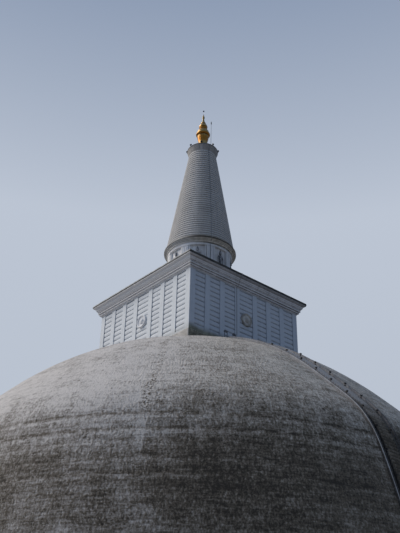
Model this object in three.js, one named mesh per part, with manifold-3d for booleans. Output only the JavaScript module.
// A bubble-domed brick stupa as a scale model at one tenth of its real size.
// Millimetres, +Z up, origin on the axis at ground level. The chamber faces look along X and Y:
// -Y is called south, -X west, +Y north and +X east. The stair climbs the south side of the dome.
import * as THREE from 'three';
import { mergeVertices } from 'three/addons/utils/BufferGeometryUtils.js';
import Module from 'manifold-3d';

const wasm = await Module();
wasm.setup();

// Driving dimensions
const GAP = 0.3;                   // joint between two pieces that are cut to each other
const CHAMBER_HALF = 1120;         // half the width of the square chamber, over its pilasters
const CHAMBER_TOP = 5884;          // height of the chamber wall's top above the ground
const RING_RADIUS = 4615;          // outer radius of the lowest basal ring
const RING_HEIGHT = 220;
const RING_STEP = 115;
const RING_COUNT = 3;
const DOME_RADIUS = 4249;          // the crown is part of a sphere of this radius
const DOME_CENTRE_Z = 825;
const DOME_TOP_Z = 4742;           // flat seat of the chamber on the dome
const SHOULDER_SWELL = 88;         // the shoulder stands out from that sphere by this much,
const SHOULDER_ANGLE = 31.3;       // most at this angle above the sphere's centre,
const SHOULDER_SPREAD = 7.6;       // and fades over this many degrees
const DRAW_IN = 4.6;               // below the shoulder the sides draw in, for each degree
const DRAW_IN_BELOW = 22;
const DRAW_IN_EASE = 2;
const SIDES = ['south', 'east', 'north', 'west'];
const ROUND_SIDES = 48;            // facets of the dome and the rings
const DOME_ROWS = 20;
const SPIRE_SIDES = 32;

// Sizes that follow from the chamber's half width
const u = (k) => k * CHAMBER_HALF;
const level = (k) => CHAMBER_TOP + u(k);
const DOME_FOOT_Z = RING_COUNT * RING_HEIGHT;

const group = new THREE.Group();

// Finishes
const finish = (color, roughness, metalness = 0) =>
  new THREE.MeshStandardMaterial({ color, roughness, metalness });
const weatheredPlaster = finish(0x8a8782, 0.95);
const limePlaster = finish(0xb9bdc4, 0.9);
const shadedPlaster = finish(0x8e9299, 0.9);
const spirePlaster = finish(0x93949a, 0.9);
const mossyStone = finish(0x6f6e5d, 0.95);
const darkSlab = finish(0x3c3b38, 0.9);
const gilding = finish(0xb8862b, 0.35, 1);
const darkMetal = finish(0x2c2c2e, 0.6, 0.6);
const clearCrystal = finish(0xaab2bd, 0.15);

// Geometry helpers

// A body turned about the Z axis from [radius, z] points, which start and end on the axis.
function turned(points, sides, turn = 0) {
  const profile = points.map(([r, z]) => new THREE.Vector2(r, z));
  const geometry = new THREE.LatheGeometry(profile, sides, turn);
  const upright = new THREE.Matrix4().makeBasis(
    new THREE.Vector3(1, 0, 0), new THREE.Vector3(0, 0, 1), new THREE.Vector3(0, -1, 0));
  return geometry.applyMatrix4(upright);
}

// A square body: its points are [half width, z].
function squareTurned(points) {
  return turned(points.map(([half, z]) => [half * Math.SQRT2, z]), 4, Math.PI / 4);
}

function outline(points) {
  return new THREE.Shape(points.map(([x, y]) => new THREE.Vector2(x, y)));
}

// A plan outline of [x, y] points, raised from z0 to z1.
function raised(points, z0, z1) {
  const geometry = new THREE.ExtrudeGeometry(outline(points), { depth: z1 - z0, bevelEnabled: false });
  return geometry.translate(0, 0, z0);
}

// A section of [y, z] points, drawn out along X from x0 to x1.
function drawnAlongX(points, x0, x1) {
  const geometry = new THREE.ExtrudeGeometry(outline(points), { depth: x1 - x0, bevelEnabled: false });
  const alongX = new THREE.Matrix4().makeBasis(
    new THREE.Vector3(0, 1, 0), new THREE.Vector3(0, 0, 1), new THREE.Vector3(1, 0, 0));
  return geometry.applyMatrix4(alongX).translate(x0, 0, 0);
}

function block(x0, x1, y0, y1, z0, z1) {
  const geometry = new THREE.BoxGeometry(x1 - x0, y1 - y0, z1 - z0);
  return geometry.translate((x0 + x1) / 2, (y0 + y1) / 2, (z0 + z1) / 2);
}

// A closed geometry as a solid that can be joined and cut.
function solid(geometry) {
  const bare = geometry.clone();
  bare.deleteAttribute('normal');
  bare.deleteAttribute('uv');
  const merged = mergeVertices(bare, 0.001);
  const kept = [];
  const index = merged.index.array;
  for (let i = 0; i < index.length; i += 3) {
    const [a, b, c] = [index[i], index[i + 1], index[i + 2]];
    if (a !== b && b !== c && c !== a) {
      kept.push(a, b, c);
    }
  }
  return new wasm.Manifold(new wasm.Mesh({
    numProp: 3,
    vertProperties: new Float32Array(merged.attributes.position.array),
    triVerts: new Uint32Array(kept),
  }));
}

function joined(geometries) {
  return geometries.map(solid).reduce((whole, piece) => whole.add(piece));
}

function geometryOf(manifold) {
  const mesh = manifold.getMesh();
  const geometry = new THREE.BufferGeometry();
  geometry.setAttribute('position', new THREE.BufferAttribute(new Float32Array(mesh.vertProperties), 3));
  geometry.setIndex(new THREE.BufferAttribute(new Uint32Array(mesh.triVerts), 1));
  return geometry;
}

function place(name, geometry, material, turn = 0) {
  const mesh = new THREE.Mesh(geometry, material);
  mesh.name = name;
  mesh.rotation.z = turn;
  group.add(mesh);
}

// One copy of a piece on each side of the building, made for the south side.
function placeOnEachSide(name, geometry, material) {
  SIDES.forEach((side, i) => place(`${name}_${side}`, geometry, material, i * Math.PI / 2));
}

// Basal rings: three stepped terraces around the dome's foot, each with a foot course and a cornice
function basalRingProfile(i, gap) {
  const r = RING_RADIUS - i * RING_STEP + gap;
  const z0 = i * RING_HEIGHT;
  const z1 = z0 + RING_HEIGHT + gap;
  const neck = 28;
  return [
    [0, z0], [r, z0], [r, z0 + 45], [r - neck, z0 + 62],
    [r - neck, z0 + 150], [r, z0 + 178], [r, z1], [0, z1],
  ];
}

// Dome: one mass of plastered brick, cut flat at its foot and under the chamber. Its crown is round,
// its shoulder swells a little, and its sides draw in towards the foot.
function domeReach(angle) {
  const degrees = THREE.MathUtils.radToDeg(angle);
  const swell = SHOULDER_SWELL * Math.exp(-(((degrees - SHOULDER_ANGLE) / SHOULDER_SPREAD) ** 2));
  const below = Math.log(1 + Math.exp((DRAW_IN_BELOW - degrees) / DRAW_IN_EASE));
  return DOME_RADIUS + swell - DRAW_IN * DRAW_IN_EASE * below;
}

function domeProfile(gap) {
  const low = Math.asin((DOME_FOOT_Z - DOME_CENTRE_Z) / domeReach(0));
  const high = Math.asin((DOME_TOP_Z - DOME_CENTRE_Z) / DOME_RADIUS);
  const points = [];
  for (let i = 0; i <= DOME_ROWS; i += 1) {
    const angle = low + (high - low) * i / DOME_ROWS;
    const reach = domeReach(angle) + gap;
    points.push([reach * Math.cos(angle), DOME_CENTRE_Z + reach * Math.sin(angle)]);
  }
  points[0][1] = DOME_FOOT_Z;
  points[DOME_ROWS][1] = DOME_TOP_Z + gap;
  return [[0, DOME_FOOT_Z], ...points, [0, DOME_TOP_Z + gap]];
}

const RING_NAMES = ['lower', 'middle', 'upper'];
RING_NAMES.forEach((name, i) => {
  place(`basal_ring_${name}`, turned(basalRingProfile(i, 0), ROUND_SIDES), weatheredPlaster);
});
place('dome', turned(domeProfile(0), ROUND_SIDES), weatheredPlaster);

// The dome and its rings a little larger, to cut what is built against them.
const basalMass = [0, 1, 2]
  .map((i) => solid(turned(basalRingProfile(i, GAP), ROUND_SIDES)))
  .reduce((whole, piece) => whole.add(piece))
  .add(solid(turned(domeProfile(GAP), ROUND_SIDES)));

// Frontispieces: a moulded block against the rings on each side, with a taller middle
const FRONT_Y = -(RING_RADIUS + 190);
const FRONT_HALF = 730;
const FRONT_TOP = 800;

function frontProfile(proud, back) {
  const y = FRONT_Y - proud;
  return [
    [back, 0], [back, FRONT_TOP], [y - 20, FRONT_TOP], [y - 20, 765], [y + 18, 740],
    [y + 18, 610], [y - 14, 585], [y - 14, 545], [y + 12, 520], [y + 12, 150],
    [y - 14, 115], [y - 14, 70], [y - 30, 55], [y - 30, 0],
  ];
}

function frontispiece() {
  const back = -4150;
  const attic = [
    [FRONT_Y - 30, FRONT_TOP - 5], [FRONT_Y - 30, 930], [FRONT_Y - 45, 950], [FRONT_Y - 45, 985],
    [FRONT_Y - 10, 1005], [FRONT_Y + 60, 1060], [FRONT_Y + 130, 1005], [FRONT_Y + 165, 985],
    [FRONT_Y + 165, 950], [FRONT_Y + 150, 930], [FRONT_Y + 150, FRONT_TOP - 5],
  ].reverse();
  const whole = joined([
    drawnAlongX(frontProfile(0, back), -FRONT_HALF, FRONT_HALF),
    drawnAlongX(frontProfile(42, back), -230, 230),
    drawnAlongX(attic, -180, 180),
  ]);
  return geometryOf(whole.subtract(basalMass));
}
placeOnEachSide('frontispiece', frontispiece(), weatheredPlaster);

// Flower altars: a stone table in front of each frontispiece
function flowerAltar() {
  const back = FRONT_Y - 72 - GAP;
  const front = back - 105;
  return drawnAlongX([
    [back, 0], [back, 96], [front, 96], [front, 80], [front + 14, 70],
    [front + 14, 26], [front, 16], [front, 0],
  ], -215, 215);
}
placeOnEachSide('flower_altar', flowerAltar(), limePlaster);

// Stair and kerbs: a strip of steps between two kerbs, laid on the south side of the dome
const STAIR_WEST = -708;
const STAIR_EAST = -374;
const KERB_WIDTH = 28;
const KERB_HEIGHT = 30;
const STEP_HEIGHT = 24;            // how far a step's edge stands off the dome
const STEP_ANGLE = THREE.MathUtils.degToRad(0.6);
const SHORTEST_TREAD = 20;
const FOOTING = 15;                // depth of stair and kerbs that is trimmed to the roof below
const BEDDING = 25;                // depth of stair and kerbs that is trimmed to the dome
const STAIR_ROWS = 28;
const stairStart = Math.asin((FRONT_TOP - DOME_CENTRE_Z) / domeReach(0));
const stairEnd = THREE.MathUtils.degToRad(67.6);
const stairFoot = stairStart - FOOTING / DOME_RADIUS;
const roofBelow = solid(block(-FRONT_HALF, FRONT_HALF, -4900, -4000, 0, FRONT_TOP + GAP));

// A [y, z] point that stands off the dome's south side by so much, in the upright plane at x.
function offDome(x, standOff, angle) {
  const reach = domeReach(angle) + standOff;
  return [-Math.sqrt((reach * Math.cos(angle)) ** 2 - x ** 2), DOME_CENTRE_Z + reach * Math.sin(angle)];
}

function upTheDome(x, standOff, from, to) {
  const points = [];
  for (let i = 0; i <= STAIR_ROWS; i += 1) {
    points.push(offDome(x, standOff, from + (to - from) * i / STAIR_ROWS));
  }
  return points;
}

function kerb(x0, x1) {
  const middle = (x0 + x1) / 2;
  const section = [
    ...upTheDome(middle, -BEDDING, stairFoot, stairEnd),
    ...upTheDome(middle, KERB_HEIGHT, stairFoot, stairEnd).reverse(),
  ];
  return geometryOf(solid(drawnAlongX(section, x0, x1)).subtract(basalMass).subtract(roofBelow));
}

function flightOfSteps(x0, x1) {
  const middle = (x0 + x1) / 2;
  const count = Math.floor((stairEnd - stairStart) / STEP_ANGLE);
  const edges = [];
  for (let i = 0; i <= count; i += 1) {
    edges.push(offDome(middle, STEP_HEIGHT, stairStart + i * STEP_ANGLE));
  }
  const section = upTheDome(middle, -BEDDING, stairFoot, stairStart + count * STEP_ANGLE);
  const teeth = [offDome(middle, STEP_HEIGHT, stairFoot)];
  for (let i = 0; i < count; i += 1) {
    const [y, z] = edges[i];
    const tread = Math.max(edges[i + 1][0] - y, SHORTEST_TREAD);
    teeth.push([y, z], [y + tread, z]);
  }
  teeth.push(edges[count]);
  section.push(...teeth.reverse());
  return geometryOf(solid(drawnAlongX(section, x0, x1)).subtract(basalMass).subtract(roofBelow));
}
place('stair_kerb_west', kerb(STAIR_WEST, STAIR_WEST + KERB_WIDTH), limePlaster);
place('stair_kerb_east', kerb(STAIR_EAST - KERB_WIDTH, STAIR_EAST), limePlaster);
place('dome_stair', flightOfSteps(STAIR_WEST + KERB_WIDTH + GAP, STAIR_EAST - KERB_WIDTH - GAP), mossyStone);

// Chamber: a plinth on the dome's flat seat, and the solid core of the square chamber
const PLINTH_TOP = level(-0.885);
const PLINTH_HALF = u(1.03);
const WALL_THICKNESS = 60;
const CORE_HALF = CHAMBER_HALF - WALL_THICKNESS - GAP;

place('chamber_plinth', squareTurned([
  [0, DOME_TOP_Z], [PLINTH_HALF, DOME_TOP_Z], [PLINTH_HALF, PLINTH_TOP - 22],
  [PLINTH_HALF - 16, PLINTH_TOP], [0, PLINTH_TOP],
]), mossyStone);
place('chamber_core', squareTurned([
  [0, PLINTH_TOP], [CORE_HALF, PLINTH_TOP], [CORE_HALF, CHAMBER_TOP], [0, CHAMBER_TOP],
]), shadedPlaster);

// Rail walls: each face has six pilasters between two corner ones, and lens-shaped rails in seven bays
const BAYS = [
  [-0.91, -0.74], [-0.655, -0.48], [-0.395, -0.21], [-0.125, 0.12], [0.205, 0.38], [0.465, 0.645], [0.73, 0.91],
];
const BAY_TOP = level(-0.01);
const RAIL_PITCH = u(0.07);
const RAIL_ROWS = 12;
const BAY_BOTTOM = BAY_TOP - RAIL_ROWS * RAIL_PITCH;
const BAY_DEPTH = 36;
const RAIL_SETBACK = 8;
const EMBED = 4;                   // how far a rail's root is sunk in the wall behind it

function railWall() {
  const front = -CHAMBER_HALF;
  const back = front + WALL_THICKNESS;
  const corners = [[-CHAMBER_HALF + GAP, front], [CHAMBER_HALF - GAP, front]];
  const rear = [[-back - GAP, back], [back + GAP, back]];
  const pilasterPlan = [corners[0]];
  BAYS.forEach(([left, right]) => {
    pilasterPlan.push([u(left), front], [u(left), front + BAY_DEPTH]);
    pilasterPlan.push([u(right), front + BAY_DEPTH], [u(right), front]);
  });
  pilasterPlan.push(corners[1], ...rear);
  const plainPlan = [...corners, ...rear];
  const pieces = [
    raised(plainPlan, PLINTH_TOP, BAY_BOTTOM),
    raised(pilasterPlan, BAY_BOTTOM, BAY_TOP),
    raised(plainPlan, BAY_TOP, CHAMBER_TOP),
  ];
  for (let row = 0; row < RAIL_ROWS; row += 1) {
    const z = BAY_TOP - (row + 0.5) * RAIL_PITCH;
    const reach = RAIL_PITCH / 2;
    const root = front + BAY_DEPTH + EMBED;
    pieces.push(drawnAlongX([
      [root, z - reach], [root, z + reach], [front + RAIL_SETBACK, z],
    ], -u(0.95), u(0.95)));
  }
  return geometryOf(joined(pieces));
}
placeOnEachSide('rail_wall', railWall(), limePlaster);

// Sun discs: a dished round plaque with a boss, over the rails of each middle bay
function sunDisc() {
  const back = RAIL_SETBACK - GAP;
  const radius = u(0.096);
  const plaque = turned([
    [0, 0], [radius, 0], [radius, back + 14], [radius - 12, back + 20], [radius - 30, back + 14],
    [radius - 44, back + 4], [u(0.05), back + 4], [u(0.03), back + 16], [0, back + 20],
  ], 16);
  const facingSouth = plaque.rotateX(Math.PI / 2);
  return facingSouth.translate(0, -CHAMBER_HALF + back, level(-0.43));
}
placeOnEachSide('sun_disc', sunDisc(), limePlaster);

// Cornice and roof: mouldings that step out over the walls, under a thin roof slab
const CYMA_FOOT = level(0.078);
const ROOF_TOP = level(0.178);
place('cornice_mouldings', squareTurned([
  [0, CHAMBER_TOP], [u(1.012), CHAMBER_TOP], [u(1.012), level(0.02)], [u(1.026), level(0.024)],
  [u(1.03), level(0.028)], [u(1.03), level(0.044)], [u(1.025), level(0.048)], [u(1.042), level(0.051)],
  [u(1.046), level(0.055)], [u(1.046), level(0.071)], [u(1.038), level(0.075)], [u(1.038), CYMA_FOOT],
  [0, CYMA_FOOT],
]), limePlaster);
place('cornice_cyma', squareTurned([
  [0, CYMA_FOOT], [u(1.048), CYMA_FOOT], [u(1.053), level(0.085)], [u(1.062), level(0.105)],
  [u(1.08), level(0.123)], [u(1.1), level(0.133)], [u(1.104), level(0.137)], [u(1.104), level(0.145)],
  [0, level(0.145)],
]), limePlaster);
place('roof_slab', squareTurned([
  [0, level(0.145)], [u(1.11), level(0.145)], [u(1.11), ROOF_TOP], [0, ROOF_TOP],
]), darkSlab);

// Drum: a round house of eight niches, with a pilaster between each two
const DRUM_RADIUS = u(0.49);
const NICHE_RADIUS = u(0.452);
const NICHE_BOTTOM = level(0.52);
const NICHE_TOP = level(0.955);
const DRUM_TOP = level(0.98);

function drum() {
  const wall = turned([
    [0, ROOF_TOP], [DRUM_RADIUS + 14, ROOF_TOP], [DRUM_RADIUS + 14, ROOF_TOP + 40],
    [DRUM_RADIUS, ROOF_TOP + 50], [DRUM_RADIUS, NICHE_BOTTOM], [NICHE_RADIUS, NICHE_BOTTOM],
    [NICHE_RADIUS, NICHE_TOP], [DRUM_RADIUS, NICHE_TOP], [DRUM_RADIUS, DRUM_TOP], [0, DRUM_TOP],
  ], SPIRE_SIDES);
  const pilasters = [];
  for (let i = 0; i < 8; i += 1) {
    const pilaster = block(-u(0.062), u(0.062), -DRUM_RADIUS, -NICHE_RADIUS + 20, NICHE_BOTTOM - 5, NICHE_TOP + 5);
    pilasters.push(pilaster.rotateZ((i + 0.5) * Math.PI / 4));
  }
  return geometryOf(joined([wall, ...pilasters]));
}
place('drum', drum(), limePlaster);

// Guardian figures: a standing robed figure in high relief in each niche
function guardianFigure() {
  const foot = NICHE_BOTTOM + GAP;
  const depth = 0.5;
  const body = turned([
    [0, 0], [36, 0], [27, 150], [31, 215], [25, 262], [34, 315], [12, 342],
    [20, 362], [21, 385], [9, 425], [0, 446],
  ], 8).scale(1, depth, 1);
  return body.translate(0, -(NICHE_RADIUS + 18 + GAP), foot);
}
const figure = guardianFigure();
for (let i = 0; i < 8; i += 1) {
  place(`guardian_figure_${i + 1}`, figure, limePlaster, i * Math.PI / 4);
}

// Drum ring: the heavy round moulding under the spire
const RING_TOP = level(1.082);
place('drum_ring', turned([
  [0, DRUM_TOP], [u(0.5), DRUM_TOP], [u(0.504), level(0.995)], [u(0.528), level(1.006)],
  [u(0.543), level(1.022)], [u(0.547), level(1.038)], [u(0.543), level(1.052)], [u(0.53), level(1.061)],
  [u(0.52), level(1.068)], [u(0.518), RING_TOP], [0, RING_TOP],
], SPIRE_SIDES), mossyStone);

// Spire: a tall plastered cone of close rings, and the flared collar on its top
const SPIRE_FOOT_RADIUS = u(0.5165);
const SPIRE_TOP = level(2.92);
const SPIRE_TOP_RADIUS = u(0.222);
place('spire', turned([
  [0, RING_TOP], [SPIRE_FOOT_RADIUS, RING_TOP], [SPIRE_TOP_RADIUS, SPIRE_TOP], [0, SPIRE_TOP],
], SPIRE_SIDES), spirePlaster);

const COLLAR_TOP = level(3.04);
const COLLAR_RADIUS = u(0.2535);
function collar() {
  const flare = turned([
    [0, SPIRE_TOP], [u(0.222), SPIRE_TOP], [u(0.23), level(2.95)], [u(0.245), level(2.995)],
    [u(0.25), level(3.02)], [COLLAR_RADIUS, level(3.022)], [COLLAR_RADIUS, COLLAR_TOP], [0, COLLAR_TOP],
  ], SPIRE_SIDES);
  const lamps = [];
  for (let i = 0; i < 8; i += 1) {
    const lamp = block(-8, 8, -COLLAR_RADIUS - 18, -COLLAR_RADIUS + 12, COLLAR_TOP - 14, COLLAR_TOP + 16);
    lamps.push(lamp.rotateZ(i * Math.PI / 4));
  }
  return geometryOf(joined([flare, ...lamps]));
}
place('spire_collar', collar(), shadedPlaster);

// Pinnacle: gilded pot, bulb and finial, with the crystal on a thin rod
const POT_TOP = 9827;
const BULB_TOP = 9985;
const FINIAL_TOP = 10200;
const PINNACLE_SIDES = 16;
place('pinnacle_pot', turned([
  [0, COLLAR_TOP], [128, COLLAR_TOP], [128, COLLAR_TOP + 28], [104, COLLAR_TOP + 50], [92, 9400],
  [84, 9520], [96, 9580], [107, 9640], [104, 9668], [122, 9682], [131, 9696], [131, 9716], [116, 9742],
  [103, 9780], [80, 9812], [64, POT_TOP], [0, POT_TOP],
], PINNACLE_SIDES), gilding);
place('pinnacle_bulb', turned([
  [0, POT_TOP], [64, POT_TOP], [72, 9850], [80, 9884], [74, 9918], [58, 9946], [49, 9962],
  [46, 9976], [46, BULB_TOP], [0, BULB_TOP],
], PINNACLE_SIDES), gilding);
place('pinnacle_finial', turned([
  [0, BULB_TOP], [45, BULB_TOP], [42, 9998], [30, 10012], [22, 10041], [15, 10084], [16, 10104],
  [23, 10129], [19, 10155], [8, 10194], [0, FINIAL_TOP],
], PINNACLE_SIDES), gilding);
place('crystal_point', turned([
  [0, FINIAL_TOP + GAP], [3, FINIAL_TOP + GAP], [3, 10272], [11, 10278], [17, 10292], [11, 10306], [0, 10318],
], 12), clearCrystal);

// Lightning rod: a thin rod beside the pinnacle, standing on the collar
const ROD_REACH = 150;
const ROD_AZIMUTH = THREE.MathUtils.degToRad(49.8);
place('lightning_rod', turned([
  [0, COLLAR_TOP], [14, COLLAR_TOP], [14, COLLAR_TOP + 8], [4, COLLAR_TOP + 12], [4, 9973],
  [9, 9980], [7, 10030], [0, 10046],
], 8).translate(ROD_REACH * Math.sin(ROD_AZIMUTH), -ROD_REACH * Math.cos(ROD_AZIMUTH), 0), darkMetal);

export default group;
